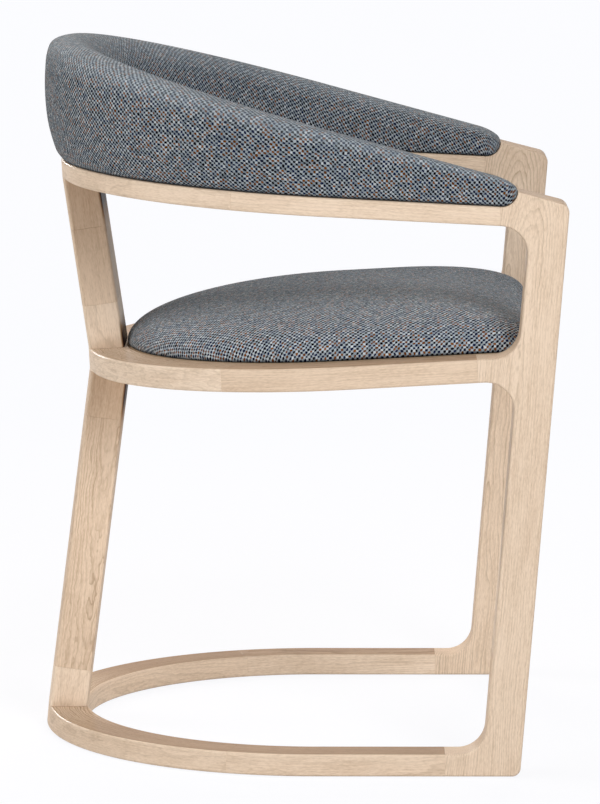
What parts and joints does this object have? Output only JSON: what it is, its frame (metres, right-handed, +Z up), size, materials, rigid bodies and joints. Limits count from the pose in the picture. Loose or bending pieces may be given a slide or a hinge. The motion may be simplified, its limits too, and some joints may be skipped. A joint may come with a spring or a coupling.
{
  "type": "tub chair",
  "caption": "Low tub chair with U shaped oak frames at floor, seat and arm height, front legs, one rear post, a wrap-round padded back and a domed fabric seat.",
  "frame": {"origin": "on the floor, at the middle of the chair's width and depth", "axes": "+X to the sitter's left, +Y to the chair's rear, +Z up; the chair faces -Y"},
  "size_m": [0.5812, 0.528, 0.7147],
  "materials": {
    "oak": "satin",
    "plywood": "matte",
    "fabric": "matte",
    "foam": "matte",
    "lining": "matte",
    "steel": "satin",
    "glide_plastic": "matte"
  },
  "bodies": {
    "root": {"base_ring_back": "oak", "base_rail_left": "oak", "base_rail_right": "oak", "seat_ring_back": "oak", "seat_rail_left": "oak", "seat_rail_right": "oak", "arm_ring_back": "oak", "arm_rail_left": "oak", "arm_rail_right": "oak", "front_leg_left": "oak", "front_leg_right": "oak", "seat_front_rail": "oak", "base_post_block": "oak", "rear_post_lower": "oak", "seat_post_block_lower": "oak", "seat_post_block_upper": "oak", "rear_post_upper": "oak", "arm_post_block": "oak", "base_bend_tenon_right": "oak", "base_bend_tenon_left": "oak", "base_leg_tenon_right": "oak", "base_leg_tenon_left": "oak", "seat_bend_tenon_right": "oak", "seat_bend_tenon_left": "oak", "seat_leg_tenon_right": "oak", "seat_leg_tenon_left": "oak", "arm_bend_tenon_right": "oak", "arm_bend_tenon_left": "oak", "arm_leg_tenon_right": "oak", "arm_leg_tenon_left": "oak", "front_rail_tenon_right": "oak", "front_rail_tenon_left": "oak", "post_tenon_base_frame": "oak", "post_tenon_base_block": "oak", "post_tenon_seat_block_lower": "oak", "post_tenon_seat_frame_lower": "oak", "post_tenon_seat_frame_upper": "oak", "post_tenon_seat_block_upper": "oak", "post_tenon_arm_block": "oak", "post_tenon_arm_frame": "oak", "seat_screw_1": "steel", "seat_screw_2": "steel", "seat_screw_3": "steel", "seat_screw_4": "steel", "back_screw_1": "steel", "back_screw_2": "steel", "back_screw_3": "steel", "back_screw_4": "steel", "glide_front_left": "glide_plastic", "glide_front_right": "glide_plastic", "glide_side_left": "glide_plastic", "glide_side_right": "glide_plastic", "glide_rear": "glide_plastic", "seat_panel": "plywood", "back_core": "plywood", "seat_foam": "foam", "back_foam": "foam", "seat_cover": "fabric", "back_cover": "fabric", "seat_bottom_lining": "lining"}
  },
  "joints": []
}
